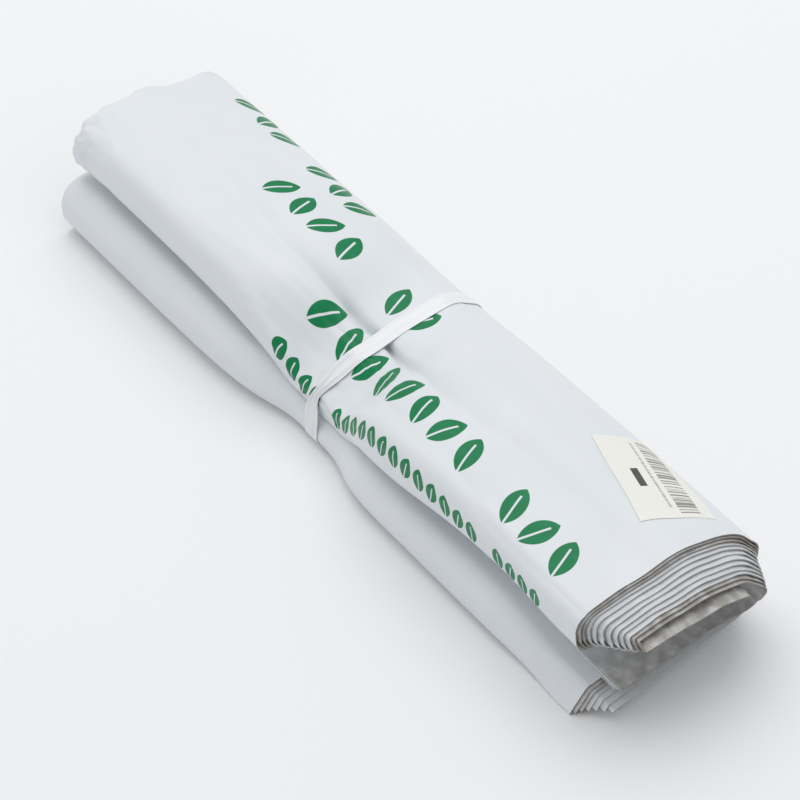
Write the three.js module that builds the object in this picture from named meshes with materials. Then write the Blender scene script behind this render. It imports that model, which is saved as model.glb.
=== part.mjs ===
import * as THREE from "three";

// A bundle of poly mailer bags, folded up together and tied round the middle.
// Millimetres: X runs along the bundle to its fanned end, Y across it, Z up.

// The mailers lie flat on one another, side to side along X, and are folded as one stack.
const MAILER_SIDE = 350;
const MAILER_WALLS = 0.5;
const CLEARANCE = 0.3;
const PITCH = MAILER_WALLS + CLEARANCE;

// The outer mailers are long ones: their tails are turned back under the bundle.
// The inner mailers stop at the left edge with a free tail.
const OUTER_COUNT = 7;
const INNER_COUNT = 5;
const COUNT = OUTER_COUNT + INNER_COUNT;

// The stack has slipped, so each mailer stands out past the one round it.
const SLIP = 1.45;
// The edge tucked inside and the tails turned back underneath stand out further still.
const TUCK_SLIP = 5;
const TAIL_SLIP = 4.4;
// The free tails of the inner mailers stand out less.
const FREE_TAIL_SLIP = -5;
// The fanned shape sets in this far from the end, and the last stretch is straight.
const FAN_REACH = 53;
const FAN_STRAIGHT = 8;

// A film strap holds the waist, which is straight a little past the strap's edges.
const STRAP_WIDTH = 8;
const STRAP_THICKNESS = 0.4;
const STRAP_MARGIN = 2;
const WAIST_FLAT = STRAP_WIDTH / 2 + STRAP_MARGIN;
// From there the bundle is half drawn in at the first distance, and not at the second.
const DRAWN_HALF = 26;
const DRAWN_REACH = 72;

// The sticker sits askew over the right edge near the fanned end.
// Its middle is this far from the fanned end, and this far across from the middle line.
const LABEL_LENGTH = 50;
const LABEL_WIDTH = 30;
const LABEL_THICKNESS = 0.2;
const LABEL_LIFT = 0.4;
const LABEL_TURN = 20;
const LABEL_INSET = 38;
const LABEL_ACROSS = 24;

// Each shape is one cross-section of the fold.
// over: corners [y, z, radius] of the outermost and innermost mailer, from the
// edge tucked inside, round the left nose and over the top to the right side.
// A corner with no radius stays a plain bend. The sixth is the bottom of the valley
// that the strap pulls along the top.
// side: [y, radius] of the corner where the right side meets the bottom.
// tuck: the turned-back tail, with its nose tip and its shoulder as
// [y, step inward for each mailer, radius], and the height of its top.
// tail: where the tails end.
const FANNED_END = {
  over: {
    outer: [
      [31, 29], [12, 34], [-42, 31.4, 8], [-44, 50.8, 8],
      [-23, 54.6], [-10.9, 55.3], [4, 58.4], [30.5, 52.2, 20], [44.8, 36.4, 14],
    ],
    inner: [
      [21.5, 40.6], [9, 43.4], [-28, 41, 1], [-27, 43.2, 1],
      [-15, 45], [-5.5, 45.2], [5, 46.8], [24, 43.2, 12], [35.2, 32.4, 8],
    ],
  },
  side: { outer: [45.4, 15], inner: [35.6, 7] },
  tuck: { tip: [-44, 1.8, 0.7], shoulder: [-35.4, 0.55, 4], top: 10.9 },
  tail: { long: 30, short: -29 },
};

const CLOSED_END = {
  over: {
    outer: [
      [31, 31.5], [13, 31.5], [-38.6, 30.8, 8], [-39, 51.6, 9],
      [-24, 56.4], [-9.4, 56.3], [2, 58.4], [32.5, 51.2, 20], [44.2, 36.6, 14],
    ],
    inner: [
      [21, 41], [8, 41], [-23, 40.2, 2.2], [-23, 44.6, 2.2],
      [-14, 46.6], [-5.4, 46.7], [3, 48.6], [24.5, 42.2, 12], [34.4, 32.6, 6],
    ],
  },
  side: { outer: [44.6, 15], inner: [34.8, 7] },
  tuck: { tip: [-47, 0.9, 11], shoulder: [-46.4, 0.9, 11], top: 25.4 },
  tail: { long: 29, short: -26 },
};

const WAIST = {
  over: {
    outer: [
      [31, 17.1], [13, 16.5], [-33, 16.5, 2.6], [-33.6, 23.4, 3],
      [-12.5, 36.4], [-2.7, 35.9], [5, 40], [30, 41.4, 12], [43.6, 34, 10],
    ],
    inner: [
      [21, 25.6], [8, 25.4], [-7.4, 25.4, 0.4], [-7, 26.4, 0.4],
      [-4.5, 27.4], [2.2, 26.9], [8, 31], [24, 32, 8], [33.8, 27.6, 6],
    ],
  },
  side: { outer: [43.8, 12], inner: [34, 4] },
  tuck: { tip: [-36.4, 0.95, 5.6], shoulder: [-36.2, 0.95, 5.6], top: 11.6 },
  tail: { long: 27, short: -22 },
};

// The bottom mailer's centre line: on the floor, or above the strap at the waist.
const FLOOR = MAILER_WALLS / 2;
const STRAP_FLOOR = STRAP_THICKNESS + CLEARANCE + MAILER_WALLS / 2;

const mix = (a, b, t) => a + (b - a) * t;
const mixAll = (a, b, t) => {
  if (typeof a === "number") return mix(a, b, t);
  if (Array.isArray(a)) return a.map((value, i) => mixAll(value, b[i], t));
  return Object.fromEntries(Object.keys(a).map((key) => [key, mixAll(a[key], b[key], t)]));
};
const smooth = (t) => {
  const u = Math.min(Math.max(t, 0), 1);
  return u * u * (3 - 2 * u);
};

// The stations where the section changes: how far it is drawn in by the strap,
// and how far it has gone over from the closed end's shape to the fanned end's.
const HALF = MAILER_SIDE / 2;
const STATIONS = [
  { x: -HALF, drawn: 0, fanned: 0 },
  { x: -WAIST_FLAT - DRAWN_REACH, drawn: 0.05, fanned: 0 },
  { x: -WAIST_FLAT - DRAWN_HALF, drawn: 0.5, fanned: 0 },
  { x: -WAIST_FLAT, drawn: 1, fanned: 0 },
  { x: WAIST_FLAT, drawn: 1, fanned: 0 },
  { x: WAIST_FLAT + DRAWN_HALF, drawn: 0.5, fanned: 0.1 },
  { x: WAIST_FLAT + DRAWN_REACH, drawn: 0.05, fanned: 0.2 },
  { x: HALF - FAN_REACH, drawn: 0, fanned: 0.35 },
  { x: HALF - FAN_STRAIGHT, drawn: 0, fanned: 1 },
  { x: HALF, drawn: 0, fanned: 1 },
];

function shapeAt(x) {
  const next = Math.max(STATIONS.findIndex((station) => station.x >= x), 1);
  const [a, b] = [STATIONS[next - 1], STATIONS[next]];
  const { drawn, fanned } = mixAll(a, b, (x - a.x) / (b.x - a.x));
  const shape = mixAll(mixAll(CLOSED_END, FANNED_END, fanned), WAIST, drawn);
  return { ...shape, floor: mix(FLOOR, STRAP_FLOOR, drawn) };
}

// The corners of one mailer's centre line, counted from the outermost mailer.
function foldCorners(shape, mailer) {
  const inward = mailer / (COUNT - 1);
  const corners = mixAll(shape.over.outer, shape.over.inner, inward);
  const [sideY, sideRadius] = mixAll(shape.side.outer, shape.side.inner, inward);
  const low = shape.floor + PITCH * mailer;
  if (mailer >= OUTER_COUNT) {
    const level = shape.tuck.top + PITCH * (mailer - OUTER_COUNT + 1);
    corners.push([sideY, level, sideRadius], [shape.tail.short, level]);
    return corners;
  }
  const { tip, shoulder, top } = shape.tuck;
  const high = top - PITCH * mailer;
  const tight = (radius) => Math.max(radius - PITCH * mailer, 0.5);
  corners.push([sideY, low, sideRadius]);
  corners.push([tip[0] + tip[1] * mailer, low, tight(tip[2])]);
  corners.push([shoulder[0] + shoulder[1] * mailer, high, tight(shoulder[2])]);
  corners.push([shape.tail.long, high]);
  return corners;
}

// How many points round off each corner: more at the noses, fewer on the gentle bends.
const OUTER_ROUNDING = [1, 1, 3, 3, 1, 1, 1, 2, 3, 3, 3, 3, 1];
const INNER_ROUNDING = [1, 1, 3, 3, 1, 1, 1, 2, 3, 3, 1];
const roundingOf = (mailer) => (mailer < OUTER_COUNT ? OUTER_ROUNDING : INNER_ROUNDING);

// The first point of each of these corners: the left nose's lower one and the one past
// the nose, the top, the right side's foot, and the tip where the bottom turns back.
const [NOSE_POINT, PAST_NOSE_POINT, TOP_POINT, FOOT_POINT, TIP_POINT] = [2, 4, 6, 9, 10].map(
  (corner) => OUTER_ROUNDING.slice(0, corner).reduce((sum, count) => sum + count, 0),
);

// Rounds each corner with an arc of its own radius.
function rounded(corners, counts) {
  const points = [];
  corners.forEach(([y, z, radius], i) => {
    const here = new THREE.Vector2(y, z);
    if (counts[i] === 1) {
      points.push(here);
      return;
    }
    const before = new THREE.Vector2(...corners[i - 1]).sub(here);
    const after = new THREE.Vector2(...corners[i + 1]).sub(here);
    const room = 0.48 * Math.min(before.length(), after.length());
    before.normalize();
    after.normalize();
    const half = Math.acos(THREE.MathUtils.clamp(before.dot(after), -1, 1)) / 2;
    const reach = Math.min(radius / Math.tan(half), room);
    const start = here.clone().addScaledVector(before, reach);
    const end = here.clone().addScaledVector(after, reach);
    const inward = before.add(after).normalize();
    const centre = here.clone().addScaledVector(inward, reach / Math.cos(half));
    const from = start.sub(centre);
    const to = end.sub(centre);
    const sweep = Math.atan2(from.cross(to), from.dot(to));
    for (let k = 0; k < counts[i]; k += 1) {
      const turned = from.clone().rotateAround(new THREE.Vector2(), (sweep * k) / (counts[i] - 1));
      points.push(turned.add(centre));
    }
  });
  return points;
}

// Shifts a path sideways, to its right if the distance is positive.
function shifted(path, distance) {
  return path.map((point, i) => {
    const back = point.clone().sub(path[Math.max(i - 1, 0)]);
    const ahead = path[Math.min(i + 1, path.length - 1)].clone().sub(point);
    if (i === 0) back.copy(ahead);
    if (i === path.length - 1) ahead.copy(back);
    const along = back.normalize().add(ahead.normalize()).normalize();
    const stretch = 1 / Math.max(along.dot(ahead), 0.5);
    return new THREE.Vector2(along.y, -along.x).multiplyScalar(distance * stretch).add(point);
  });
}

// Joins a row of closed rings into one body, with flat ends or, if closed, end to start.
// Each ring runs down one face of the sheet and back up the other, and both faces
// split their quads along the same diagonal, so that the sheet keeps its thickness.
function bodyFromRings(rings, closed) {
  const count = rings[0].length;
  const positions = rings.flat().flatMap((point) => [point.x, point.y, point.z]);
  const index = [];
  const quad = (a, b, c, d) => index.push(a, c, b, a, d, c);
  for (let r = 0; r < rings.length - (closed ? 0 : 1); r += 1) {
    const next = (r + 1) % rings.length;
    for (let k = 0; k < count; k += 1) {
      const beside = (k + 1) % count;
      const corners = [r * count + k, r * count + beside, next * count + beside, next * count + k];
      if (k >= count / 2) corners.push(corners.shift());
      quad(...corners);
    }
  }
  if (!closed) {
    const last = (rings.length - 1) * count;
    for (let k = 0; k < count / 2 - 1; k += 1) {
      const facing = count - 1 - k;
      quad(k, facing, facing - 1, k + 1);
      quad(last + k, last + k + 1, last + facing - 1, last + facing);
    }
  }
  const geometry = new THREE.BufferGeometry();
  geometry.setAttribute("position", new THREE.Float32BufferAttribute(positions, 3));
  geometry.setIndex(index);
  geometry.computeVertexNormals();
  return geometry;
}

function centreLine(x, mailer) {
  return rounded(foldCorners(shapeAt(x), mailer), roundingOf(mailer));
}

// How far a point of the fold stands out past the outermost mailer. The slant is taken
// up round the left nose and, for the tails, along the bottom.
function slip(mailer, point) {
  const tucked = 1 - smooth((point - NOSE_POINT) / (PAST_NOSE_POINT - NOSE_POINT));
  const step = SLIP + (TUCK_SLIP / COUNT) * tucked;
  if (mailer < OUTER_COUNT) return mailer * (step + (point >= TIP_POINT ? TAIL_SLIP / OUTER_COUNT : 0));
  return mailer * (step + (point > FOOT_POINT ? FREE_TAIL_SLIP / COUNT : 0));
}

function mailerBody(mailer) {
  const rings = STATIONS.map(({ x }) => {
    const isEnd = Math.abs(x) === HALF;
    const section = isEnd ? Math.min(x + mailer * SLIP, HALF) : x;
    const path = centreLine(section, mailer);
    const xAt = (i) => (isEnd ? x + slip(mailer, i) : x);
    const face = (side) => shifted(path, (side * MAILER_WALLS) / 2)
      .map((point, i) => new THREE.Vector3(xAt(i), point.x, point.y));
    return [...face(-1), ...face(1).reverse()];
  });
  return bodyFromRings(rings, false);
}

// The strap is pulled tight round the waist, so its path is the hull of the outer mailer there.
function hull(points) {
  const sorted = [...points].sort((a, b) => a.x - b.x || a.y - b.y);
  const half = (list) => {
    const chain = [];
    for (const p of list) {
      while (chain.length > 1) {
        const [a, b] = chain.slice(-2);
        if ((b.x - a.x) * (p.y - a.y) - (b.y - a.y) * (p.x - a.x) > 1e-6) break;
        chain.pop();
      }
      chain.push(p);
    }
    return chain.slice(0, -1);
  };
  return [...half(sorted), ...half(sorted.reverse())];
}

function strapBody() {
  const waist = centreLine(0, 0);
  const outline = hull(shifted(waist, -MAILER_WALLS / 2));
  const around = (distance) => outline.map((point, i) => {
    const before = outline[(i + outline.length - 1) % outline.length];
    const after = outline[(i + 1) % outline.length];
    const first = point.clone().sub(before).normalize();
    const along = after.clone().sub(point).normalize().add(first).normalize();
    const stretch = distance / along.dot(first);
    return new THREE.Vector2(along.y, -along.x).multiplyScalar(stretch).add(point);
  });
  const inner = around(CLEARANCE);
  const outer = around(CLEARANCE + STRAP_THICKNESS);
  const edge = STRAP_WIDTH / 2;
  const rings = inner.map((p, i) => [
    new THREE.Vector3(-edge, p.x, p.y),
    new THREE.Vector3(-edge, outer[i].x, outer[i].y),
    new THREE.Vector3(edge, outer[i].x, outer[i].y),
    new THREE.Vector3(edge, p.x, p.y),
  ]);
  return bodyFromRings(rings, true);
}

// A point above the outer mailer's face, as far across from the middle line as the
// film is walked from the top toward the right.
function outerFace(x, across, lift) {
  const next = STATIONS.findIndex((station) => station.x >= x);
  const [a, b] = [STATIONS[next - 1].x, STATIONS[next].x];
  const pathA = centreLine(a, 0);
  const pathB = centreLine(b, 0);
  const t = (x - a) / (b - a);
  const path = shifted(pathA.map((p, i) => p.clone().lerp(pathB[i], t)), -MAILER_WALLS / 2 - lift);
  let i = TOP_POINT;
  let left = across - path[i].x;
  while (left > path[i].distanceTo(path[i + 1])) {
    left -= path[i].distanceTo(path[i + 1]);
    i += 1;
  }
  const point = path[i].clone().lerp(path[i + 1], left / path[i].distanceTo(path[i + 1]));
  return new THREE.Vector3(x, point.x, point.y);
}

function labelBody() {
  const turn = THREE.MathUtils.degToRad(LABEL_TURN);
  const columns = 15;
  const rows = 5;
  const face = (lift) => Array.from({ length: columns }, (_, c) => (
    Array.from({ length: rows }, (__, r) => {
      const u = (c / (columns - 1) - 0.5) * LABEL_WIDTH;
      const v = (r / (rows - 1) - 0.5) * LABEL_LENGTH;
      const x = HALF - LABEL_INSET + v * Math.cos(turn) + u * Math.sin(turn);
      const across = LABEL_ACROSS - v * Math.sin(turn) + u * Math.cos(turn);
      return outerFace(x, across, lift);
    })
  ));
  const under = face(LABEL_LIFT);
  const over = face(LABEL_LIFT + LABEL_THICKNESS);
  const rings = under.map((column, c) => [...column, ...over[c].reverse()]);
  return bodyFromRings(rings, false);
}

const film = (color) => new THREE.MeshStandardMaterial({ color, roughness: 0.35 });

function named(name, geometry, material) {
  const mesh = new THREE.Mesh(geometry, material);
  mesh.name = name;
  return mesh;
}

const bundle = new THREE.Group();
bundle.name = "mailer_bundle";
for (let mailer = 0; mailer < COUNT; mailer += 1) {
  const name = `mailer_${String(mailer + 1).padStart(2, "0")}`;
  bundle.add(named(name, mailerBody(mailer), film("#e2e7ea")));
}
bundle.add(named("tie_strap", strapBody(), film("#f4f6f8")));
bundle.add(named("barcode_label", labelBody(), new THREE.MeshStandardMaterial({ color: "#ecede7" })));

// The origin is on the floor under the middle of the bundle.
const middle = new THREE.Box3().setFromObject(bundle).getCenter(new THREE.Vector3());
bundle.children.forEach((mesh) => mesh.geometry.translate(-middle.x, -middle.y, 0));

export default bundle;
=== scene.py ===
import math

import bpy
import numpy as np
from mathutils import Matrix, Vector


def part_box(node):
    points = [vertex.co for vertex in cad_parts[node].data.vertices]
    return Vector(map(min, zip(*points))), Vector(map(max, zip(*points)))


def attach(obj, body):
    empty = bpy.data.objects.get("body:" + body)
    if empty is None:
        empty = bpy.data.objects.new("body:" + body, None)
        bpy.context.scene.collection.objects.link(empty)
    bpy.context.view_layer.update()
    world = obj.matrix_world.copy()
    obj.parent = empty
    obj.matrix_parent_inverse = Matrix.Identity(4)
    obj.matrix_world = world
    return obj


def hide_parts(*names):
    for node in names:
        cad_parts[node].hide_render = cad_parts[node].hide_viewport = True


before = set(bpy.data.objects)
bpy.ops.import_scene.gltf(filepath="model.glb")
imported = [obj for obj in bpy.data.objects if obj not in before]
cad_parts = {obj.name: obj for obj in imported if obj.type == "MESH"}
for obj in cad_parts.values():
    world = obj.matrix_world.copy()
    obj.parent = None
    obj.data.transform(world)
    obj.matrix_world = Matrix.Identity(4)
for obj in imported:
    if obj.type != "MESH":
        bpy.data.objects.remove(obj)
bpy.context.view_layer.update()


# The mailers' fold: twelve bags of thin white film are laid on one another and folded up
# as one stack, with an edge tucked inside, a round nose at the left, one big fold at the
# right, and the outer seven bags' tails turned back underneath. Sizes are in millimetres.
SIDE = 350.0
HALF = SIDE / 2
COUNT = 12
OUTER_COUNT = 7
PITCH = 0.8
FILM = 0.5

# Corners [across, height, radius] of one cross-section, from the tucked edge, round the
# left nose and over the top to the right side, for the outermost and innermost bag. The
# side is the corner under the right side, [across, radius], for the same two bags. The tip
# and the shoulder are the turned-back tail's corners: across for the outermost bag, how far
# off each next bag's lies, and the radius. The tails are where the turned-back and the free
# tails end, and the floor and the top are the outermost bag's and its tail's heights.
CLOSED_END = {
    "outer": [[31, 31.5, 0], [13, 31.5, 14], [-38.6, 30.8, 8], [-39, 51.6, 9], [-24, 56.4, 50],
              [-9.4, 56.3, 30], [2, 58.4, 50], [32.5, 51.2, 34], [44.2, 36.6, 14]],
    "inner": [[21, 41, 0], [8, 41, 8], [-23, 40.2, 2.2], [-23, 44.6, 2.2], [-14, 46.6, 30],
              [-5.4, 46.7, 30], [3, 48.6, 30], [24.5, 42.2, 14], [34.4, 32.6, 6]],
    "side": [[44.6, 15], [34.8, 7]],
    "tip": [-47, 0.9, 11],
    "shoulder": [-46.4, 0.9, 11],
    "tails": [29, -26],
    "top": 25.4,
    "floor": 0.25,
}
FANNED_END = {
    "outer": [[31, 29, 0], [12, 34, 14], [-42, 31.4, 8], [-44, 50.8, 8], [-23, 54.6, 50],
              [-10.9, 55.3, 30], [4, 58.4, 50], [30.5, 52.2, 34], [44.8, 36.4, 14]],
    "inner": [[21.5, 40.6, 0], [9, 43.4, 8], [-28, 41, 1], [-27, 43.2, 1], [-15, 45, 30],
              [-5.5, 45.2, 30], [5, 46.8, 30], [24, 43.2, 14], [35.2, 32.4, 8]],
    "side": [[45.4, 15], [35.6, 7]],
    "tip": [-44, 1.8, 0.7],
    "shoulder": [-35.4, 0.55, 4],
    "tails": [30, -29],
    "top": 10.9,
    "floor": 0.25,
}
WAIST = {
    "outer": [[31, 17.1, 0], [13, 16.5, 14], [-33, 16.5, 2.6], [-33.6, 23.4, 3], [-12.5, 36.4, 12],
              [-2.7, 35.9, 4], [5, 40.8, 12], [31, 44.6, 14], [45, 35.4, 10]],
    "inner": [[21, 25.6, 0], [8, 25.4, 8], [-7.4, 25.4, 0.4], [-7, 26.4, 0.4], [-4.5, 27.4, 1],
              [2.2, 26.9, 2], [8, 31.6, 8], [25, 35, 9], [35, 28.8, 6]],
    "side": [[45, 12], [35.2, 4]],
    "tip": [-36.4, 0.95, 5.6],
    "shoulder": [-36.2, 0.95, 5.6],
    "tails": [27, -22],
    "top": 11.6,
    "floor": 0.95,
}

# The strap is this wide. It draws the bundle in wholly over a short stretch on both sides
# of its middle, and by half at the reach beyond that.
STRAP_WIDTH = 8.0
DRAWN_STRAIGHT = 6.0
DRAWN_REACH = 26.0
DRAWN_POWER = 2.9
# The closed end's shape goes over to the fanned end's in two stretches. Each has its
# start, its length and its share of the change.
FAN_STRETCHES = [(-6.0, 128.0, 0.35), (122.0, 45.0, 0.65)]
# Between the strap and the fanned end the left nose hangs lower and further out, and the
# tails under it sink. The shifts [across, height] are those of the corner under the nose
# and of the nose's lower and upper corner.
HANG_MIDDLE = 58.0
HANG_REACH = 32.0
HANG_SHIFTS = np.array([[-3.0, -4.5], [-3.0, -3.0], [-1.5, -0.5]])
HANG_TAIL = 2.0
# The turned-back tail bulges to the left beside the strap. Its corners get sharper from
# bag to bag, down to the last radius.
BULGE_MIDDLE = 32.0
BULGE_REACH = 20.0
BULGE = 1.0
SHARPEST = 0.5
# What lies to the left sets in this far from the top, and is whole after so much more.
LEFT_START = 8
LEFT_REACH = 14

# Points along the arc of each corner and along each leg between them, and then the points
# at which the nose, the right side, the foot, the tail's tip and its last leg start or end.
ARCS = [7, 9, 12, 16, 10, 14, 16, 12, 10, 9, 9]
LEGS = [6, 12, 6, 8, 4, 4, 6, 4, 18, 24, 6, 14]
TOP_POINT = sum(LEGS[:6]) + sum(ARCS[:5]) + ARCS[5] // 2
NOSE_START = sum(LEGS[:2]) + ARCS[0]
NOSE_END = NOSE_START + ARCS[1] + LEGS[2] + ARCS[2]
RIGHT_START = sum(LEGS[:8]) + sum(ARCS[:7])
FOOT_END = sum(LEGS[:9]) + sum(ARCS[:9])
TIP_START = FOOT_END + LEGS[9]
TAIL_START = TIP_START + LEGS[10] + sum(ARCS[9:])

# The stack has slipped: each bag stands out past the one round it by so much, summed up
# here. The edge tucked inside and the turned-back tails stand out more, and the free tails
# less, by so much for each bag. A free tail's slip sets in so many points before the
# foot's end, and is whole after so many more.
SLIPS = np.cumsum([0, 0.7, 0.7, 0.8, 1.6, 2.0, 1.9, 2.1, 1.7, 1.6, 1.45, 1.4])
TUCK_SLIP = 0.42
TAIL_SLIP = 0.63
FREE_TAIL_SLIP = -0.42
FREE_TAIL_LEAD = 16
FREE_TAIL_POINTS = 22
# The bottom is folded askew: at the fanned end its right foot stands back this far, and
# the turned-back tail's edge this many times as far.
SKEW = 5.0
TAIL_SKEW = 1.6


def smooth(t):
    """Goes from 0 to 1 as t does, level at both ends: 3 t squared less 2 t cubed."""
    t = np.clip(t, 0, 1)
    return t * t * (3 - 2 * t)


def bell(x, middle, reach):
    """A bell curve: e to the power of minus the square of the distance over the reach."""
    return np.exp(-(((x - middle) / reach) ** 2))


def ripples(x, y, seed, octaves=4, gain=0.5):
    """Soft noise of two arrays: a sum of sine waves in random directions and phases, each
    octave twice as fine as the last and gain times as high. It stays within about 1."""
    rng = np.random.default_rng(seed)
    total = np.zeros(np.broadcast(x, y).shape)
    size = 1.0
    for octave in range(octaves):
        for _ in range(5):
            turn, phase = rng.uniform(0, 2 * math.pi, 2)
            rate = 2**octave * rng.uniform(0.7, 1.3)
            wave = x * math.cos(turn) + y * math.sin(turn)
            total += size * np.sin(rate * wave + phase) / 2.5
        size *= gain
    return total


def fold_corners(x, layer):
    """The corners [across, height, radius] of one bag's fold at each place x along the
    bundle. Three shapes are mixed: the waist's share falls off on both sides of the strap
    as one over one plus a power of the distance over the reach, and the rest goes over
    from the closed end's shape to the fanned end's."""
    distance = np.maximum(np.abs(x) - DRAWN_STRAIGHT, 0)
    drawn = 1 / (1 + (distance / DRAWN_REACH) ** DRAWN_POWER)
    fanned = sum(share * smooth((x - start) / length) for start, length, share in FAN_STRETCHES)
    shares = np.stack([(1 - drawn) * (1 - fanned), (1 - drawn) * fanned, drawn], axis=-1)

    def mixed(key):
        values = np.array([shape[key] for shape in (CLOSED_END, FANNED_END, WAIST)], float)
        return np.tensordot(shares, values, axes=1)

    inward = layer / (COUNT - 1)
    over = mixed("outer") * (1 - inward) + mixed("inner") * inward
    hang = bell(x, HANG_MIDDLE, HANG_REACH)
    over[..., 1:4, :2] += hang[..., None, None] * HANG_SHIFTS
    side = mixed("side")
    side = side[..., 0, :] * (1 - inward) + side[..., 1, :] * inward
    top, tails = mixed("top") - HANG_TAIL * hang, mixed("tails")
    if layer >= OUTER_COUNT:
        level = top + PITCH * (layer - OUTER_COUNT + 1)
        rest = [[side[..., 0], level, side[..., 1]], [tails[..., 1], level, 0 * level]]
    else:
        low = mixed("floor") + PITCH * layer
        high = top - PITCH * layer
        tip, shoulder = mixed("tip"), mixed("shoulder")
        bulge = BULGE * bell(x, BULGE_MIDDLE, BULGE_REACH)
        tip[..., 0] -= bulge
        shoulder[..., 0] -= bulge
        tip_radius = np.maximum(tip[..., 2] - PITCH * layer, SHARPEST)
        shoulder_radius = np.maximum(shoulder[..., 2] - PITCH * layer, SHARPEST)
        rest = [
            [side[..., 0], low, side[..., 1]],
            [tip[..., 0] + tip[..., 1] * layer, low, tip_radius],
            [shoulder[..., 0] + shoulder[..., 1] * layer, high, shoulder_radius],
            [tails[..., 0], high, 0 * high],
        ]
    return np.concatenate([over, np.moveaxis(np.array(rest), (0, 1), (-2, -1))], axis=-2)


def rounded(corners, arcs, legs):
    """Rounds each inner corner of a row of paths with an arc that touches both legs, at
    most 0.48 of the shorter leg from the corner. Points are spread evenly along each
    straight leg and along each arc, whose points are the arc's start turned about its
    centre."""
    here, radius = corners[:, 1:-1, :2], corners[:, 1:-1, 2]
    before, after = corners[:, :-2, :2] - here, corners[:, 2:, :2] - here
    long_before, long_after = np.linalg.norm(before, axis=2), np.linalg.norm(after, axis=2)
    before, after = before / long_before[..., None], after / long_after[..., None]
    half = np.arccos(np.clip((before * after).sum(axis=2), -1, 1)) / 2
    reach = np.minimum(radius / np.tan(half), 0.48 * np.minimum(long_before, long_after))
    start, end = here + before * reach[..., None], here + after * reach[..., None]
    middle = (before + after) / np.linalg.norm(before + after, axis=2)[..., None]
    centre = here + middle * (reach / np.cos(half))[..., None]
    spoke, last = start - centre, end - centre
    cross = spoke[..., 0] * last[..., 1] - spoke[..., 1] * last[..., 0]
    sweep = np.arctan2(cross, (spoke * last).sum(axis=2))
    leg_starts = np.concatenate([corners[:, :1, :2], end], axis=1)
    leg_ends = np.concatenate([start, corners[:, -1:, :2]], axis=1)
    points = []
    for k, leg in enumerate(legs):
        t = (np.arange(leg) / leg)[:, None]
        points.append(leg_starts[:, k, None] + (leg_ends - leg_starts)[:, k, None] * t)
        if k < len(arcs):
            turn = sweep[:, k, None] * np.arange(arcs[k]) / arcs[k]
            y, z = spoke[:, k, None, 0], spoke[:, k, None, 1]
            turned = np.stack(
                [y * np.cos(turn) - z * np.sin(turn), y * np.sin(turn) + z * np.cos(turn)],
                axis=2,
            )
            points.append(centre[:, k, None] + turned)
    points.append(corners[:, -1:, :2])
    return np.concatenate(points, axis=1)


def slipped(layer, count):
    """How far each point of one bag's path stands out past the outermost bag: the stack's
    slip, more in the edge tucked inside and in a turned-back tail, less in a free tail."""
    point = np.arange(count)
    tucked = 1 - smooth((point - NOSE_START) / (NOSE_END - NOSE_START))
    if layer < OUTER_COUNT:
        tail = TAIL_SLIP * smooth((point - FOOT_END) / LEGS[9])
    else:
        tail = FREE_TAIL_SLIP * smooth((point - FOOT_END + FREE_TAIL_LEAD) / FREE_TAIL_POINTS)
    return SLIPS[layer] + layer * (TUCK_SLIP * tucked + tail)


def skewed(count):
    """How far each point of a path stands back because the bottom is folded askew: nothing
    up to the right side, all of it at the foot, evenly less from there to the left, and
    more again along the turned-back tail."""
    point = np.arange(count)
    reached = smooth((point - RIGHT_START) / (FOOT_END - RIGHT_START))
    back = reached * np.clip(1 - (point - FOOT_END) / LEGS[9], 0, 1)
    return SKEW * (back + TAIL_SKEW * np.clip((point - TAIL_START) / LEGS[11], 0, 1))


# Lines [along the bundle, across the film from its top]. The strap pulls the deep valley
# into the top. The side fold runs along the closed half's left edge with a ridge above it,
# and the faint line is an old crease near the fanned end.
VALLEY = np.array([
    [-175, -4], [-132, -6.2], [-98, -9.3], [-60, -13.5], [-28, -10], [0, -7.8],
    [30, -11.5], [50, -15.9], [68, -16.6], [90, -12.8], [114, -9], [131, -10], [175, -12],
])
SIDE_FOLD = np.array([[-175, -41], [-146, -41.6], [-117, -44], [-89, -47], [-42, -41.6], [0, -40]])
SIDE_RIDGE = np.array([[-175, -36], [-108, -35], [-76, -32], [-46, -27], [0, -20]])
FAINT_LINE = np.array([
    [70, -31], [88, -34.5], [104, -38.6], [117, -42.5], [139, -43.7], [175, -44.2],
])
# The valley's depth is a part that fades soon on both sides of the strap and one that
# reaches toward the ends. Its width grows evenly with the distance from the strap.
VALLEY_DEPTH = 2.4
VALLEY_FADE = 24.0
VALLEY_LONG_DEPTH = 1.7
VALLEY_LONG_REACH = 95.0
VALLEY_WIDTH = 0.9
VALLEY_WIDENING = 0.028
# Each ridge beside the valley has its place and width, both over the valley's width, and
# its height over the valley's depth.
VALLEY_RIDGES = [(-3.2, 2.2, 0.4), (3.4, 2.4, 0.25)]
# The pleats' two waves in radians per millimetre beside the strap, how fast the fan
# spreads, how far the pleats reach, and their depth everywhere and more on the left.
PLEAT_RATE = 0.95
FINE_PLEAT_RATE = 1.9
PLEAT_SPREAD = 0.011
PLEAT_FADE = 30.0
PLEAT_DEPTH = 0.06
LEFT_PLEAT_DEPTH = 0.22
# The far end is crumpled: over its rim, and further in on the left, where it is crushed.
RIM_FADE = 8.0
RIM_DEPTH = 1.2
CRUSHED_FADE = 14.0
CRUSHED_DEPTH = 1.5
CRUSHED_RISE = 0.6
# The dents end this far across the film from its top, and fade over this width.
DENTS_END = 84.0
DENTS_FADE = 22.0
# The turned-back tail's swells start this far across the film.
TAIL_PLACE = 178.0
TAIL_SWELLS = 0.4


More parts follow.
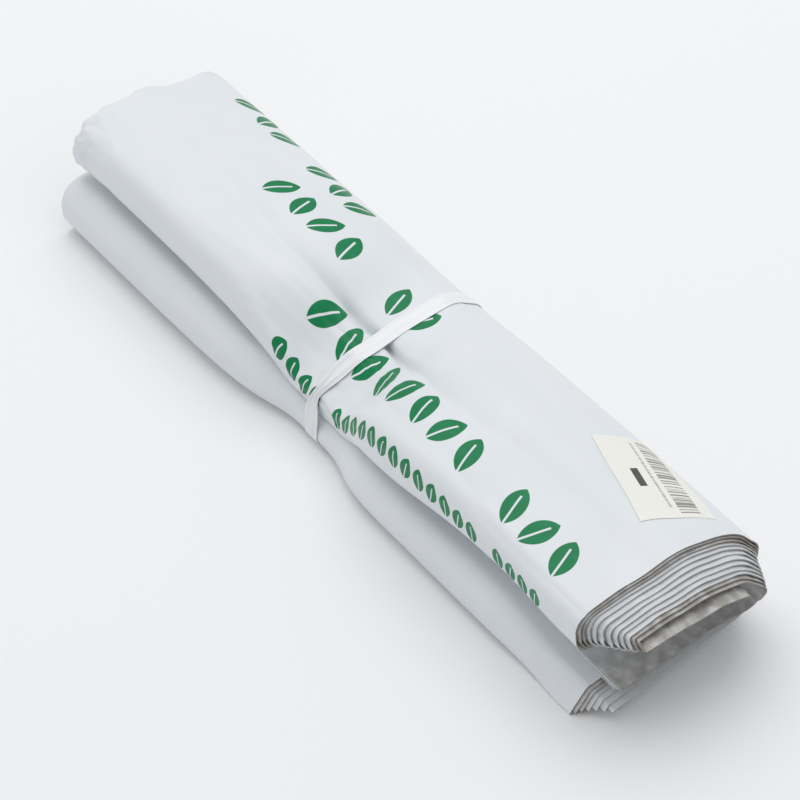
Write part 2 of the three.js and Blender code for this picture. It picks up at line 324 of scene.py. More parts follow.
def crease(x, s, line, width, depth):
    """How deep a rounded V lies along a line: the depth times e to the power of one less
    the root of one plus the squared distance from the line over the width."""
    off = s - np.interp(x, line[:, 0], line[:, 1])
    return depth * np.exp(1 - np.sqrt(1 + (off / width) ** 2))


def pleats(x, s, away):
    """Fine folds that spread from the strap like a fan: a sine wave across the film and
    one twice as fine, both bent by slower waves. They fade with the distance from the
    strap and are deeper on the left."""
    fan = (s + 4) / (1 + PLEAT_SPREAD * away)
    wave = np.sin(fan * PLEAT_RATE + 1.6 * np.sin(fan * 0.31 + np.sign(x)) + 0.02 * x)
    wave += 0.6 * np.sin(fan * FINE_PLEAT_RATE + 0.7 + 1.1 * np.sin(0.05 * x))
    left = smooth((-s - LEFT_START) / LEFT_REACH)
    return (PLEAT_DEPTH + LEFT_PLEAT_DEPTH * left) * np.exp(-away / PLEAT_FADE) * wave


def dents(x, s):
    """How deep the film is pushed in at x along the bundle and s across the film from the
    top. Each crease is a rounded V, and a ridge is one turned round. With them come the
    pleats, a pinch near the strap, long soft swells and the far end's crumples. All of it
    fades out where the film goes under the bundle, and the tail has swells of its own."""
    away = np.maximum(np.abs(x) - STRAP_WIDTH / 2, 0)
    wide = VALLEY_WIDTH + VALLEY_WIDENING * away
    depth = VALLEY_DEPTH * np.exp(-away / VALLEY_FADE)
    depth = depth + VALLEY_LONG_DEPTH * bell(away, 0, VALLEY_LONG_REACH)
    total = crease(x, s, VALLEY, wide, depth)
    for place, width, height in VALLEY_RIDGES:
        total -= crease(x, s - place * wide, VALLEY, width * wide, height * depth)
    closed_half = smooth((-x - 25) / 25)
    total += crease(x, s, SIDE_FOLD, width=3.2, depth=0.9 * closed_half)
    total -= crease(x, s, SIDE_RIDGE, width=4.5, depth=0.8 * closed_half)
    total += crease(x, s, FAINT_LINE, width=0.8, depth=0.45 * smooth((x - 75) / 20))
    total += pleats(x, s, away)
    pinch = bell(x, -31, 9) * bell(s, -37.5, 4)
    total += 1.3 * pinch
    total += 0.5 * ripples(x * 0.021, s * 0.085, 5, octaves=3)
    from_end = np.maximum(x + HALF, 0)
    total += np.exp(-from_end / RIM_FADE) * RIM_DEPTH * ripples(x * 0.09, s * 0.15, 8)
    crushed = np.exp(-from_end / CRUSHED_FADE) * smooth((-s - 12) / 20)
    sharp = np.abs(ripples(x * 0.24, s * 0.32, 19, octaves=3))
    total += crushed * (CRUSHED_DEPTH * sharp - CRUSHED_RISE)
    total *= smooth((s + DENTS_END) / DENTS_FADE) * smooth((DENTS_END - s) / DENTS_FADE)
    tail = smooth((s - TAIL_PLACE) / 12)
    return total + TAIL_SWELLS * tail * ripples(x * 0.024, s * 0.05, 41, octaves=3)


def arc_length(path):
    """The distance walked along each path, from the top of the bundle toward the right."""
    steps = np.linalg.norm(np.diff(path, axis=1), axis=2)
    walked = np.concatenate([np.zeros((len(path), 1)), np.cumsum(steps, axis=1)], axis=1)
    return walked - walked[:, TOP_POINT:TOP_POINT + 1]


def normals(points):
    """Unit normals of a grid of points: the cross product of its two slopes."""
    along, across = np.gradient(points, axis=0), np.gradient(points, axis=1)
    normal = np.cross(along, across)
    return normal / np.linalg.norm(normal, axis=2, keepdims=True)


# Beside the strap, which presses the two pads together at the left, they swell toward each
# other by so much, wholly over a stretch on both sides of the strap and less over the reach
# beyond, about a place across. From the fifth bag on they don't.
PRESSED = 2.0
PRESSED_STRAIGHT = 20.0
PRESSED_REACH = 22.0
PRESSED_ACROSS = -31.0
PRESSED_WIDTH = 5.0
PRESSED_LAYERS = 4


def pressed(x, y, layer, count):
    """How far the two pads swell toward each other beside the strap: a bell curve across
    and along the bundle, downward under the nose and upward on the turned-back tail, and
    less from bag to bag."""
    point = np.arange(count)
    under = 1 - smooth((point - NOSE_START) / (ARCS[1] + LEGS[2]))
    over = smooth((point - TIP_START - ARCS[9]) / (LEGS[10] + ARCS[10]))
    beyond = np.maximum(np.abs(x) - PRESSED_STRAIGHT, 0)
    beside = bell(beyond, 0, PRESSED_REACH) * bell(y, PRESSED_ACROSS, PRESSED_WIDTH)
    return PRESSED * max(1 - layer / PRESSED_LAYERS, 0) * beside * (over - under)


# The bags' edges wave a little over the last stretch at both ends, and the film above the
# floor lies loose over a longer one. The dents get shallower from bag to bag.
RIM = 14.0
NEAR_WAVES = 0.16
FAR_WAVES = 0.5
OUTER_FAR_WAVES = 0.8
LOOSE_NEAR = 30.0
LOOSE_FAR = 25.0
LOOSE_WAVES = 0.12
LOOSE_ABOVE = 6.0
DENTS_LOST = 0.03
# The fold is worked out at this many places along the bundle, and mixed between them.
SECTIONS = 281


def film_surface(layer, stations):
    """The middle surface of one bag as a grid of points, with x and the distance across
    the film at each. Each point lies on the fold's path at its own x, moved inward by the
    dents, which get shallower from bag to bag."""
    arcs, legs = (ARCS, LEGS) if layer < OUTER_COUNT else (ARCS[:9], LEGS[:10])
    count = sum(arcs) + sum(legs) + 1
    ahead = slipped(layer, count)[None, :]
    x = -HALF + ahead + SIDE * stations[:, None]
    x = x - smooth(2.5 * stations[:, None] - 1.5) * skewed(count)[None, :]
    across = np.linspace(0, 1, count)[None, :]
    near = smooth((x - HALF + RIM) / RIM)
    far = smooth((-HALF + RIM - x) / RIM)
    far_waves = FAR_WAVES if layer else OUTER_FAR_WAVES
    x = x + near * NEAR_WAVES * ripples(across * 20 + layer, across * 0, 31 + layer, octaves=3)
    x = x + far * far_waves * ripples(across * 60, across * 0, 57 + layer)
    section = np.clip(x, -HALF, HALF)
    steps = np.linspace(-HALF, HALF, SECTIONS)
    table = rounded(fold_corners(steps, layer), arcs, legs)
    place = (section + HALF) / SIDE * (len(steps) - 1)
    low = np.clip(place.astype(int), 0, len(steps) - 2)
    part = (place - low)[..., None]
    column = np.broadcast_to(np.arange(count), x.shape)
    path = table[low, column] * (1 - part) + table[low + 1, column] * part
    path[..., 1] += pressed(x, path[..., 0], layer, count)
    s = arc_length(path)
    points = np.concatenate([x[..., None], path], axis=2)
    push = dents(x, s) * (1 - DENTS_LOST * layer)
    loose = smooth((x - HALF + LOOSE_NEAR) / LOOSE_NEAR)
    loose = loose + smooth((-HALF + LOOSE_FAR - x) / LOOSE_FAR)
    waves = LOOSE_WAVES * ripples(s * 0.2, x * 0.03, 90 + layer) * (path[..., 1] > LOOSE_ABOVE)
    push = push + loose * waves
    return points - normals(points) * push[..., None], x, s


def to_mesh(name, loops, uvs, caps, materials):
    """A closed mesh from a grid whose rows are rings: quads join each ring to the next all
    the way round. The caps close the first and the last ring by joining the two faces of
    the sheet, and without caps the last ring is joined to the first. Millimetres become
    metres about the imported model's origin."""
    rows, columns = loops.shape[:2]
    index = np.arange(rows * columns).reshape(rows, columns)
    beside, ahead = np.roll(index, -1, axis=1), np.roll(index, -1, axis=0)
    wall = np.stack([index, ahead, np.roll(beside, -1, axis=0), beside], axis=-1)
    wall = (wall[:-1] if caps else wall).reshape(-1, 4)
    faces = [wall]
    if caps:
        half = columns // 2
        for row, order in ((index[0], (0, 1, 2, 3)), (index[-1], (3, 2, 1, 0))):
            front, back = row[:half], row[half:][::-1]
            corners = np.stack([front[:-1], front[1:], back[1:], back[:-1]], axis=-1)
            faces.append(corners[:, order])
    faces = np.concatenate(faces)
    mesh = bpy.data.meshes.new(name)
    spots = (loops.reshape(-1, 3) - MIDDLE) / 1000
    mesh.from_pydata(spots.tolist(), [], faces.tolist())
    layer = mesh.uv_layers.new(name="film")
    layer.uv.foreach_set("vector", (uvs.reshape(-1, 2)[faces.ravel()] / 1000).ravel())
    mesh.polygons.foreach_set("use_smooth", np.ones(len(faces), bool))
    slots = np.zeros(len(faces), np.int32)
    slots[len(wall):] = len(materials) - 1
    mesh.polygons.foreach_set("material_index", slots)
    for material in materials:
        mesh.materials.append(material)
    mesh.set_sharp_from_angle(angle=math.radians(50))
    mesh.update()
    obj = bpy.data.objects.new(name, mesh)
    bpy.context.scene.collection.objects.link(obj)
    return obj


def thickened(middle, thickness):
    """Both faces of a sheet as one ring per row: out along one side, back on the other."""
    offset = normals(middle) * thickness / 2
    return np.concatenate([middle + offset, (middle - offset)[:, ::-1]], axis=1)


def both_faces(u, v):
    """The UV places of a thickened sheet, which are the same on both of its faces."""
    uv = np.stack([u, v], axis=2)
    return np.concatenate([uv, uv[:, ::-1]], axis=1)


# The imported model's origin in these millimetres, from the outermost bag's box: its closed
# end lies half a side from the strap, and its right side this far across.
RIGHT_SIDE = 45.65
low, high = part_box("mailer_01")
MIDDLE = np.array([-HALF - low[0] * 1000, RIGHT_SIDE - high[1] * 1000, 0])


# The film is blown polyethylene, white and opaque, with a satin gloss. It shows faint long
# streaks from the roll and small crinkles from handling, which the bump gives. The print
# is one flat green ink, laid on in four rows, with lighter patches painted in as sheen.
def linear(hex_colour):
    """An sRGB hex colour as linear RGBA."""
    channels = [int(hex_colour[i:i + 2], 16) / 255 for i in (1, 3, 5)]
    return [c / 12.92 if c <= 0.04045 else ((c + 0.055) / 1.055) ** 2.4 for c in channels] + [1]


def add(tree, kind, settings=None, **inputs):
    """Adds a node with its settings and returns its first output. Each input is named
    in_0, in_1 ... or after its socket, and takes a value or the output that feeds it."""
    node = tree.nodes.new(kind)
    for key, value in (settings or {}).items():
        setattr(node, key, value)
    for key, value in inputs.items():
        socket = node.inputs[int(key[3:])] if key.startswith("in_") else node.inputs[key]
        if isinstance(value, bpy.types.NodeSocket):
            tree.links.new(value, socket)
        else:
            socket.default_value = value
    return node.outputs[0]


def new_material(name):
    """A new material, its node tree and its surface shader."""
    material = bpy.data.materials.new(name)
    material.use_nodes = True
    tree = material.node_tree
    tree.nodes.clear()
    output = tree.nodes.new("ShaderNodeOutputMaterial")
    surface = tree.nodes.new("ShaderNodeBsdfPrincipled")
    tree.links.new(surface.outputs[0], output.inputs[0])
    return material, tree, surface


FILM_WHITE = linear("#E6EAED")
FILM_SHADE = linear("#DCE1E5")
# A grey painted in as shade over the bags' ends at the fanned end.
FILM_PAINTED_SHADE = linear("#9C9994")
INK = linear("#007A48")
# A lighter green painted in patches over the ink as sheen.
INK_SHEEN = linear("#068354")
MATHS = "ShaderNodeMath"
COLOURS = {"data_type": "RGBA"}

# Each printed row: its start and end along the bundle, where its foot lies across the film
# at both ends, its height, the distance from leaf to leaf, a leaf's tilt from upright in
# radians, its width over the row's height, and the places left empty.
ROWS = [
    {"x": (-156, -54), "foot": (27.5, 22), "height": 16, "pitch": 14.5, "tilt": 0.36,
     "wide": 0.6, "gaps": (3,)},
    {"x": (-93, 12), "foot": (-2, 1.5), "height": 16, "pitch": 15, "tilt": 0.36,
     "wide": 0.6, "gaps": (4,)},
    {"x": (-31, 159), "foot": (-25.5, -42.5), "height": 16.5, "pitch": 15.8, "tilt": 0.36,
     "wide": 0.62, "gaps": (8,)},
    {"x": (-30, 160), "foot": (-46.5, -60), "height": 9.2, "pitch": 8.0, "tilt": 0.16,
     "wide": 0.72, "gaps": (4, 18)},
]

# A leaf's length and half its rib's width, both over the row's height, where the rib ends
# over the leaf's length, and how much of the ink each millimetre in from an edge adds.
LEAF_LENGTH = 1.06
RIB_HALF = 0.024
RIB_END = 0.28
INK_EDGE = 6.0


def leaf_row(tree, u, v, row):
    """One row of leaves as a mask. The row is cut into cells along the bundle, and every
    other cell is mirrored. A leaf is where two discs overlap, tilted from upright, less a
    thin rib along its middle that ends before the tip."""
    (x0, x1), (foot0, foot1) = row["x"], row["foot"]
    height, pitch = row["height"], row["pitch"]
    slope = (foot1 - foot0) / (x1 - x0)
    length, width = height * LEAF_LENGTH, height * row["wide"]
    disc = (length**2 + width**2) / (4 * width)
    cosine, sine = math.cos(row["tilt"]), math.sin(row["tilt"])
    plus, minus = {"operation": "ADD"}, {"operation": "SUBTRACT"}
    times, scaled = {"operation": "MULTIPLY"}, {"operation": "MULTIPLY_ADD"}
    clamped = {"operation": "MULTIPLY", "use_clamp": True}

    shift = add(tree, MATHS, minus, in_0=u, in_1=x0)
    foot = add(tree, MATHS, scaled, in_0=shift, in_1=slope, in_2=foot0 + height / 2)
    up = add(tree, MATHS, minus, in_0=v, in_1=foot)
    cells = add(tree, MATHS, {"operation": "DIVIDE"}, in_0=shift, in_1=pitch)
    cell = add(tree, MATHS, {"operation": "FLOOR"}, in_0=cells)
    within = add(tree, MATHS, {"operation": "FRACT"}, in_0=cells)
    centred = add(tree, MATHS, scaled, in_0=within, in_1=pitch, in_2=-pitch / 2)
    odd = add(tree, MATHS, {"operation": "MODULO"}, in_0=cell, in_1=2.0)
    mirror = add(tree, MATHS, scaled, in_0=odd, in_1=-2.0, in_2=1.0)
    along = add(tree, MATHS, times, in_0=centred, in_1=mirror)
    lean = add(tree, MATHS, times, in_0=along, in_1=sine)
    tip = add(tree, MATHS, scaled, in_0=up, in_1=cosine, in_2=lean)
    drop = add(tree, MATHS, times, in_0=up, in_1=-sine)
    side = add(tree, MATHS, scaled, in_0=along, in_1=cosine, in_2=drop)
    aside = add(tree, MATHS, {"operation": "ABSOLUTE"}, in_0=side)
    reach = add(tree, MATHS, plus, in_0=aside, in_1=disc - width / 2)
    reach_squared = add(tree, MATHS, times, in_0=reach, in_1=reach)
    squared = add(tree, MATHS, scaled, in_0=tip, in_1=tip, in_2=reach_squared)
    far = add(tree, MATHS, {"operation": "SQRT"}, in_0=squared)
    inside = add(tree, MATHS, minus, in_0=disc, in_1=far)
    leaf = add(tree, MATHS, clamped, in_0=inside, in_1=INK_EDGE)
    off_rib = add(tree, MATHS, minus, in_0=aside, in_1=height * RIB_HALF)
    rib = add(tree, MATHS, clamped, in_0=off_rib, in_1=INK_EDGE)
    past = add(tree, MATHS, {"operation": "GREATER_THAN"}, in_0=tip, in_1=length * RIB_END)
    not_rib = add(tree, MATHS, {"operation": "MAXIMUM"}, in_0=rib, in_1=past)
    mask = add(tree, MATHS, times, in_0=leaf, in_1=not_rib)
    started = add(tree, MATHS, {"operation": "GREATER_THAN"}, in_0=cells, in_1=0.0)
    mask = add(tree, MATHS, times, in_0=mask, in_1=started)
    last = (x1 - x0) // pitch - 0.5
    ends = add(tree, MATHS, {"operation": "LESS_THAN"}, in_0=cell, in_1=last)
    mask = add(tree, MATHS, times, in_0=mask, in_1=ends)
    for gap in row["gaps"]:
        here = add(tree, MATHS, {"operation": "COMPARE"}, in_0=cell, in_1=float(gap), in_2=0.5)
        empty = add(tree, MATHS, minus, in_0=1.0, in_1=here)
        mask = add(tree, MATHS, times, in_0=mask, in_1=empty)
    return mask


def film_material(name, rows, painted_shade, painted_shade_start):
    """Film with cloudy shades, patchy grey painted in as shade that grows from the given start
    along the bundle to the fanned end, where its share is the given amount, and any printed rows,
    whose ink has lighter patches painted in as sheen."""
    material, tree, surface = new_material(name)
    place = add(tree, "ShaderNodeUVMap", {"uv_map": "film"})
    sizes = add(tree, "ShaderNodeVectorMath", {"operation": "SCALE"}, in_0=place, Scale=1000.0)
    split = add(tree, "ShaderNodeSeparateXYZ", in_0=sizes).node
    u, v = split.outputs[0], split.outputs[1]
    cloud = add(tree, "ShaderNodeTexNoise", Vector=place, Scale=28.0, Detail=3.0)
    shade = add(tree, "ShaderNodeMix", COLOURS, in_0=cloud, in_6=FILM_WHITE, in_7=FILM_SHADE)
    colour = shade.node.outputs[2]
    # Patch noise, which places both the painted shade and the ink's painted sheen.
    patches = add(tree, "ShaderNodeTexNoise", Vector=place, Scale=190.0, Detail=4.0)
    # Patchy grey painted in as shade, growing toward the fanned end.
    if painted_shade:
        near = add(tree, "ShaderNodeMapRange", in_0=u, in_1=painted_shade_start, in_2=188.0, in_4=painted_shade)
        patchy = add(tree, "ShaderNodeMapRange", in_0=patches, in_1=0.3, in_2=0.6, in_3=0.4)
        share = add(tree, MATHS, {"operation": "MULTIPLY"}, in_0=near, in_1=patchy)
        colour = add(tree, "ShaderNodeMix", COLOURS, in_0=share, in_6=colour, in_7=FILM_PAINTED_SHADE)
        colour = colour.node.outputs[2]
    if rows:
        # Lighter patches painted over the ink as sheen.
        sheen_share = add(tree, "ShaderNodeMapRange", in_0=patches, in_1=0.5, in_2=0.72)
        ink = add(tree, "ShaderNodeMix", COLOURS, in_0=sheen_share, in_6=INK, in_7=INK_SHEEN)
        mask = leaf_row(tree, u, v, rows[0])
        for row in rows[1:]:
            more = leaf_row(tree, u, v, row)
            mask = add(tree, MATHS, {"operation": "MAXIMUM"}, in_0=mask, in_1=more)
        printed = ink.node.outputs[2]
        colour = add(tree, "ShaderNodeMix", COLOURS, in_0=mask, in_6=colour, in_7=printed)
        colour = colour.node.outputs[2]
    tree.links.new(colour, surface.inputs["Base Color"])
    gloss = add(tree, "ShaderNodeMapRange", in_0=cloud, in_3=0.3, in_4=0.42)
    tree.links.new(gloss, surface.inputs["Roughness"])
    surface.inputs["IOR"].default_value = 1.5
    surface.inputs["Specular IOR Level"].default_value = 0.25
    # Streaks 2 mm apart run along the film. The crinkles are up to 25 mm long and 9 mm
    # wide, with finer ones in them.
    stretch = add(tree, "ShaderNodeMapping", Vector=place, Scale=Vector((6.0, 500.0, 1.0)))
    streak = add(tree, "ShaderNodeTexNoise", Vector=stretch, Scale=1.0, Detail=2.0)
    long_way = add(tree, "ShaderNodeMapping", Vector=place, Scale=Vector((40.0, 110.0, 1.0)))
    crinkle = add(tree, "ShaderNodeTexNoise", {"noise_type": "RIDGED_MULTIFRACTAL"},
                  Vector=long_way, Scale=1.0, Detail=3.0)
    fine = add(tree, "ShaderNodeBump", Strength=0.12, Distance=0.0004, Height=streak)
    bump = add(tree, "ShaderNodeBump", Strength=0.26, Distance=0.0008,
               Height=crinkle, Normal=fine)
    tree.links.new(bump, surface.inputs["Normal"])
    return material


printed_film = film_material("printed_white_polyethylene", ROWS, painted_shade=0, painted_shade_start=0)
# The plain film has a little painted shade at the fanned end, and the next one has it fully, for
# the bags whose ends lie in shadow there.
plain_film = film_material("white_polyethylene", [], painted_shade=0.3, painted_shade_start=150.0)
painted_shade_film = film_material("white_polyethylene_painted_shade", [], painted_shade=1.0, painted_shade_start=120.0)


# The bags' trimmed and welded edges: a thin brownish grey line along each end, where the two
# walls of film are joined, is partly dirt and partly painted shade from the gaps between the
# sheets. The outer and inmost bags' edges are painted darker as shade; the middle ones stay a pale
# grey.
def edge_material(name, light, dark, roughness):
    """A trimmed edge, whose grime is fine noise between two shades."""
    material, tree, surface = new_material(name)
    place = add(tree, "ShaderNodeUVMap", {"uv_map": "film"})
    grime = add(tree, "ShaderNodeTexNoise", Vector=place, Scale=300.0, Detail=3.0)
    colour = add(tree, "ShaderNodeMix", COLOURS, in_0=grime,
                 in_6=linear(light), in_7=linear(dark))
    tree.links.new(colour.node.outputs[2], surface.inputs["Base Color"])
    surface.inputs["Roughness"].default_value = roughness
    return material


# The dark copy is dirt darkened with painted shade; the pale copy is the same edge left light.
dark_edge_dirt_and_shade = edge_material("film_edge_dirt_and_painted_shade", "#9C9288", "#6B6158", 0.6)
pale_edge = edge_material("pale_film_edge", "#C3C2C0", "#9A9896", 0.5)

# The bags painted grey as shade at the fanned end, and those whose edges stay pale while the
# others' edges get painted shade, counted from 0, the outermost.
PAINTED_SHADE_LAYERS = (1, 2, 10, 11)
PALE_EDGE_LAYERS = range(3, 10)

# The rings along a bag lie closer at both ends and near the strap. Each stretch between
# these places has so many rings, on the outermost bag and on the others.
RING_PLACES = [-HALF, -150, -45, 0, 60, 152, HALF]
OUTER_RINGS = [26, 24, 30, 30, 24, 26]
OTHER_RINGS = [12, 8, 8, 8, 8, 12]

for layer in range(COUNT):
    name = f"mailer_{layer + 1:02d}"
    stretches = zip(RING_PLACES, RING_PLACES[1:], OTHER_RINGS if layer else OUTER_RINGS)
    places = [np.linspace(start, end, rings, endpoint=end == HALF)
              for start, end, rings in stretches]
    stations = (np.concatenate(places) + HALF) / SIDE
    middle, x, s = film_surface(layer, stations)
    # Some bags get the film with grey painted shade at the fanned end.
    film = painted_shade_film if layer in PAINTED_SHADE_LAYERS else plain_film
    if layer == 0:
        film = printed_film
        outer_film = middle
    # The outer and inmost bags get the edge with painted shade, the middle ones the pale edge.
    edge = pale_edge if layer in PALE_EDGE_LAYERS else dark_edge_dirt_and_shade
    bag = to_mesh(f"{name}_film", thickened(middle, FILM), both_faces(x, s), True, [film, edge])
    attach(bag, "root")
    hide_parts(name)


# The strap is a band of thin glossy film, drawn tight round the waist with its ends welded
# together underneath. It is narrow and twisted where it turns over the left edge.
STRAP_THICKNESS = 0.3
STRAP_GAP = 0.2
STRAP_POINTS = 420
STRAP_ROWS = 22
# The film within this distance of the strap's middle carries it.
STRAP_FOOTING = 7
# The twist's height, reach and narrowing, and where and how far the band stands off.
TWIST_HEIGHT = 25.0
TWIST_REACH = 5.0
TWIST_NARROWING = 0.55
STAND_HEIGHT = 19.0
STAND_REACH = 9.0
STAND_OFF = 1.1


def strap_surface():
    """The band's middle surface. In each direction round the waist the film's furthest
    point is taken and moved out by the gap, and the path through these is walked evenly.
    Across the path the band is straight, with lengthwise folds that are a cosine of the
    place across. At the twist it is narrower, with deeper folds, and stands off."""
    waist = outer_film[np.abs(outer_film[:, 0, 0]) < STRAP_FOOTING].reshape(-1, 3)[:, 1:]
    turn = np.linspace(0, 2 * math.pi, 721)[:-1]
    facing = np.stack([np.cos(turn), np.sin(turn)], axis=1)
    furthest = waist[np.argmax(facing @ waist.T, axis=1)]
    path = furthest + facing * (FILM / 2 + STRAP_GAP + STRAP_THICKNESS / 2)
    path = np.concatenate([path, path[:1]])
    walked = np.concatenate([[0], np.cumsum(np.linalg.norm(np.diff(path, axis=0), axis=1))])
    even = np.linspace(0, walked[-1], STRAP_POINTS, endpoint=False)
    y, z = np.interp(even, walked, path[:, 0]), np.interp(even, walked, path[:, 1])
    path = np.stack([y, z], axis=1)
    for _ in range(3):
        path = (np.roll(path, 1, axis=0) + 2 * path + np.roll(path, -1, axis=0)) / 4
    along = np.roll(path, -1, axis=0) - np.roll(path, 1, axis=0)
    along /= np.linalg.norm(along, axis=1, keepdims=True)
    out = np.stack([along[:, 1], -along[:, 0]], axis=1)
    y, z = path[:, :1], path[:, 1:]
    left = smooth((-y - LEFT_START) / LEFT_REACH)
    twist = left * bell(z, TWIST_HEIGHT, TWIST_REACH)
    stand = left * bell(z, STAND_HEIGHT, STAND_REACH)
    across = np.linspace(-1, 1, STRAP_ROWS)[None, :]
    walk = even[:, None]
    half = STRAP_WIDTH / 2 * (1 - TWIST_NARROWING * twist)
    folds = (0.1 + 0.75 * twist + 0.3 * left) * np.cos(across * 5.2 + 0.05 * walk)
    creases = 0.12 * ripples(walk * 0.12, across * 1.5, 71)
    lift = np.maximum(folds + STAND_OFF * stand + creases, -0.1)
    lift = lift * smooth((z - 4) / 6) + 0.5 * twist * across
    centre = 0.6 - 1.2 * left + 0.35 * ripples(walk * 0.04, across * 0, 72, octaves=2)
    x = centre + half * across
    return np.stack([x, y + lift * out[:, :1], z + lift * out[:, 1:]], axis=2), walk + 0 * x


band_film, tree, surface = new_material("clear_white_strapping_film")
place = add(tree, "ShaderNodeUVMap", {"uv_map": "film"})
# Lengthwise draw lines 0.7 mm apart make the band shine in streaks.
drawn_out = add(tree, "ShaderNodeMapping", Vector=place, Scale=Vector((1400.0, 25.0, 1.0)))
lines = add(tree, "ShaderNodeTexNoise", Vector=drawn_out, Scale=1.0, Detail=3.0)
band_colour = add(tree, "ShaderNodeMix", COLOURS, in_0=lines,
                  in_6=linear("#F4F5F7"), in_7=linear("#E3E6EA"))
tree.links.new(band_colour.node.outputs[2], surface.inputs["Base Color"])
streaks = add(tree, "ShaderNodeBump", Strength=0.25, Distance=0.0004, Height=lines)
tree.links.new(streaks, surface.inputs["Normal"])
surface.inputs["Roughness"].default_value = 0.22
surface.inputs["IOR"].default_value = 1.5

band, walk = strap_surface()
faces = thickened(band, STRAP_THICKNESS)
strap = to_mesh("strap_band", faces, both_faces(band[..., 0], walk), False, [band_film])
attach(strap, "root")
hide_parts("tie_strap")


# The sticker is coated paper, stuck askew over the right edge with the film's dents under
# it. It carries plain bars, a broken grey line and a dark bar.
LABEL_LENGTH = 52.0
LABEL_WIDTH = 30.0
LABEL_THICKNESS = 0.2
LABEL_GAP = 0.12
LABEL_TURN = math.radians(20)
LABEL_MIDDLE = (136.2, 21.1)

# Each mark is a box on the paper: its middle and half its size, along the sticker and then
# across it. In the first the bars stand 1.8 mm apart on average, and noise makes them thick
# and thin.
BARS = ((0.0, 23.4), (6.0, 4.0))
BROKEN_LINE = ((-1.0, 21.0), (-0.6, 0.55))
DARK_BAR = ((0.6, 5.6), (-5.8, 1.5))
BAR_RATE = 3.4
BAR_UNEVENNESS = 9.0


def label_surface():
    """The sticker's middle surface. Each of its points has a place along the bundle and
    one across the outer film, which is its own grid turned by the angle. There it lies on
    the film's path, moved out along the path's normal by the walls less the dents."""
    v, u = np.meshgrid(np.linspace(-0.5, 0.5, 81) * LABEL_LENGTH,
                       np.linspace(-0.5, 0.5, 49) * LABEL_WIDTH, indexing="ij")
    x = LABEL_MIDDLE[0] + v * math.cos(LABEL_TURN) + u * math.sin(LABEL_TURN)
    s = LABEL_MIDDLE[1] - v * math.sin(LABEL_TURN) + u * math.cos(LABEL_TURN)
    path = rounded(fold_corners(x.ravel(), 0), ARCS, LEGS)
    walked = arc_length(path)
    target = s.ravel()[:, None]
    low = np.sum(walked < target, axis=1) - 1
    row = np.arange(len(low))
    start, end = path[row, low], path[row, low + 1]
    share = (target[:, 0] - walked[row, low]) / (walked[row, low + 1] - walked[row, low])
    spot = start + (end - start) * share[:, None]
    before, after = path[row, low - 2], path[row, low + 3]
    along = (after - before) / np.linalg.norm(after - before, axis=1, keepdims=True)
    out = np.stack([-along[:, 1], along[:, 0]], axis=1)
    lift = (FILM + LABEL_THICKNESS) / 2 + LABEL_GAP - dents(x.ravel(), s.ravel())
    spot = spot + out * lift[:, None]
    return np.stack([x, spot[:, 0].reshape(x.shape), spot[:, 1].reshape(x.shape)], axis=2), v, u


paper, tree, surface = new_material("coated_label_paper")
place = add(tree, "ShaderNodeUVMap", {"uv_map": "film"})
sizes = add(tree, "ShaderNodeVectorMath", {"operation": "SCALE"}, in_0=place, Scale=1000.0)
split = add(tree, "ShaderNodeSeparateXYZ", in_0=sizes).node
v, u = split.outputs[0], split.outputs[1]
fibres = add(tree, "ShaderNodeTexNoise", Vector=place, Scale=900.0, Detail=3.0)
sheet_colour = add(tree, "ShaderNodeMix", COLOURS, in_0=fibres,
                   in_6=linear("#F0F1EA"), in_7=linear("#E9EAE2"))
masks = []
for (v0, half_v), (u0, half_u) in (BARS, BROKEN_LINE, DARK_BAR):
    in_v = add(tree, MATHS, {"operation": "COMPARE"}, in_0=v, in_1=v0, in_2=half_v)
    in_u = add(tree, MATHS, {"operation": "COMPARE"}, in_0=u, in_1=u0, in_2=half_u)
    masks.append(add(tree, MATHS, {"operation": "MULTIPLY"}, in_0=in_v, in_1=in_u))
even_bars = add(tree, MATHS, {"operation": "MULTIPLY"}, in_0=v, in_1=BAR_RATE)
uneven = add(tree, "ShaderNodeTexNoise", {"noise_dimensions": "1D"}, W=v, Scale=0.9, Detail=1.0)
shifted = add(tree, MATHS, {"operation": "MULTIPLY_ADD"}, in_0=uneven,
              in_1=BAR_UNEVENNESS, in_2=even_bars)
wave = add(tree, MATHS, {"operation": "SINE"}, in_0=shifted)
bars = add(tree, "ShaderNodeMapRange", in_0=wave, in_1=-0.25, in_2=0.15)
masks[0] = add(tree, MATHS, {"operation": "MULTIPLY"}, in_0=masks[0], in_1=bars)
breaks = add(tree, "ShaderNodeTexNoise", {"noise_dimensions": "1D"}, W=v, Scale=1.6)
broken = add(tree, "ShaderNodeMapRange", in_0=breaks, in_1=0.42, in_2=0.52)
masks[1] = add(tree, MATHS, {"operation": "MULTIPLY"}, in_0=masks[1], in_1=broken)
paper_colour = sheet_colour.node.outputs[2]
for mask, grey in zip(masks, ("#8F8E87", "#ABAAA4", "#4A4A48")):
    marked = add(tree, "ShaderNodeMix", COLOURS, in_0=mask, in_6=paper_colour, in_7=linear(grey))
    paper_colour = marked.node.outputs[2]
tree.links.new(paper_colour, surface.inputs["Base Color"])
tooth = add(tree, "ShaderNodeBump", Strength=0.08, Distance=0.0003, Height=fibres)
tree.links.new(tooth, surface.inputs["Normal"])
surface.inputs["Roughness"].default_value = 0.48

face, along_label, across_label = label_surface()
faces = thickened(face, LABEL_THICKNESS)
label = to_mesh("label_paper", faces, both_faces(along_label, across_label), True, [paper])
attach(label, "root")
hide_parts("barcode_label")


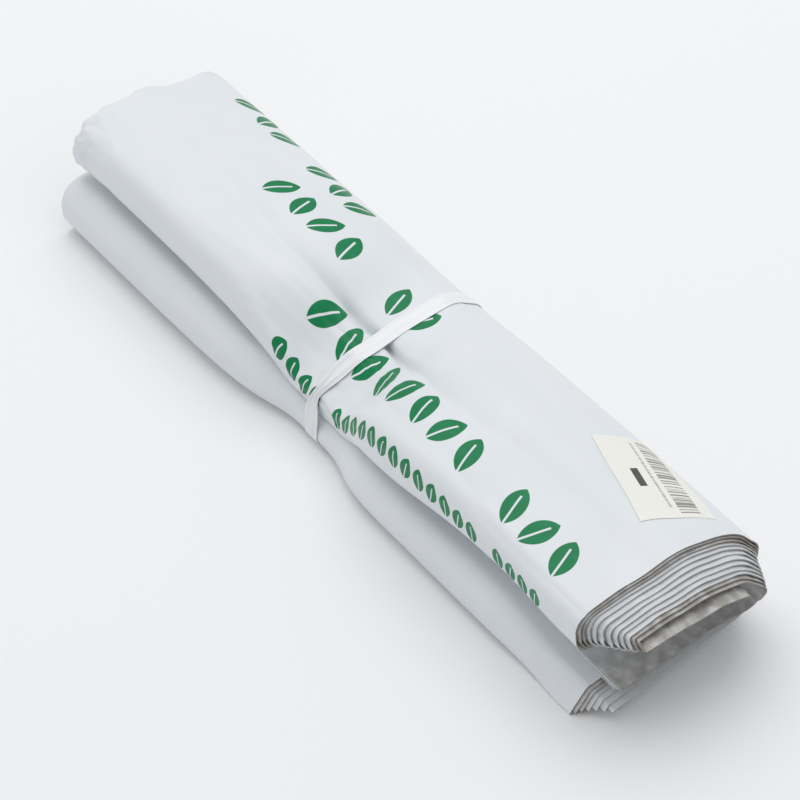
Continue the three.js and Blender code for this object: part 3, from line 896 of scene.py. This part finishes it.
# The floor is a pale matt surface, and a big soft light hangs over the bundle, a little
# past its closed end. The pale world fills in the shadows. Sizes here are in metres.
FLOOR_HALF = 4
WORLD_STRENGTH = 0.66
LAMP_PLACE = (-0.5, 0.3, 1.8)
LAMP_SIZE = 2.2
LAMP_POWER = 17.4

floor_mesh = bpy.data.meshes.new("floor")
floor_corners = [(-FLOOR_HALF, -FLOOR_HALF, 0), (FLOOR_HALF, -FLOOR_HALF, 0),
                 (FLOOR_HALF, FLOOR_HALF, 0), (-FLOOR_HALF, FLOOR_HALF, 0)]
floor_mesh.from_pydata(floor_corners, [], [(0, 1, 2, 3)])
floor = bpy.data.objects.new("floor", floor_mesh)
bpy.context.scene.collection.objects.link(floor)
floor_paint, tree, surface = new_material("pale_matt_floor")
mottle = add(tree, "ShaderNodeTexNoise", Scale=3.0)
floor_colour = add(tree, "ShaderNodeMix", COLOURS, in_0=mottle,
                   in_6=linear("#F2F3F4"), in_7=linear("#F0F1F2"))
tree.links.new(floor_colour.node.outputs[2], surface.inputs["Base Color"])
surface.inputs["Roughness"].default_value = 0.8
floor_mesh.materials.append(floor_paint)

world = bpy.data.worlds.new("studio")
bpy.context.scene.world = world
world.use_nodes = True
background = world.node_tree.nodes["Background"]
background.inputs[0].default_value = linear("#FCFCFD")
background.inputs[1].default_value = WORLD_STRENGTH

lamp = bpy.data.lights.new("soft_box", "AREA")
lamp.shape = "DISK"
lamp.size = LAMP_SIZE
lamp.energy = LAMP_POWER
lamp_object = bpy.data.objects.new("soft_box", lamp)
lamp_object.location = LAMP_PLACE
lamp_object.rotation_euler = (-Vector(LAMP_PLACE)).to_track_quat("-Z", "Y").to_euler()
bpy.context.scene.collection.objects.link(lamp_object)

# The camera has the photograph's view: its direction, its distance from the floor under the
# strap, its focal length and that place in the picture, the last two in pixels.
AZIMUTH = math.radians(54)
ELEVATION = math.radians(42.3)
DISTANCE = 1.222
PICTURE = 800
FOCAL_LENGTH = 3000
SIGHTED = (386.5, 408)
SENSOR = 36

level = math.cos(ELEVATION)
back = Vector((math.sin(AZIMUTH) * level, -math.cos(AZIMUTH) * level, math.sin(ELEVATION)))
right = Vector((math.cos(AZIMUTH), math.sin(AZIMUTH), 0))
up = back.cross(right)
aside, below = [(pixel - PICTURE / 2) / FOCAL_LENGTH for pixel in SIGHTED]
camera_data = bpy.data.cameras.new("camera")
camera_data.sensor_width = SENSOR
camera_data.lens = SENSOR * FOCAL_LENGTH / PICTURE
camera_data.clip_start = 0.05
camera_data.clip_end = 20
camera = bpy.data.objects.new("camera", camera_data)
sighted_place = Vector(-MIDDLE / 1000)
camera.location = sighted_place + DISTANCE * (back - aside * right + below * up)
camera.rotation_mode = "QUATERNION"
camera.rotation_quaternion = back.to_track_quat("Z", "Y")
bpy.context.scene.collection.objects.link(camera)
bpy.context.scene.camera = camera
bpy.context.scene.view_settings.view_transform = "Standard"
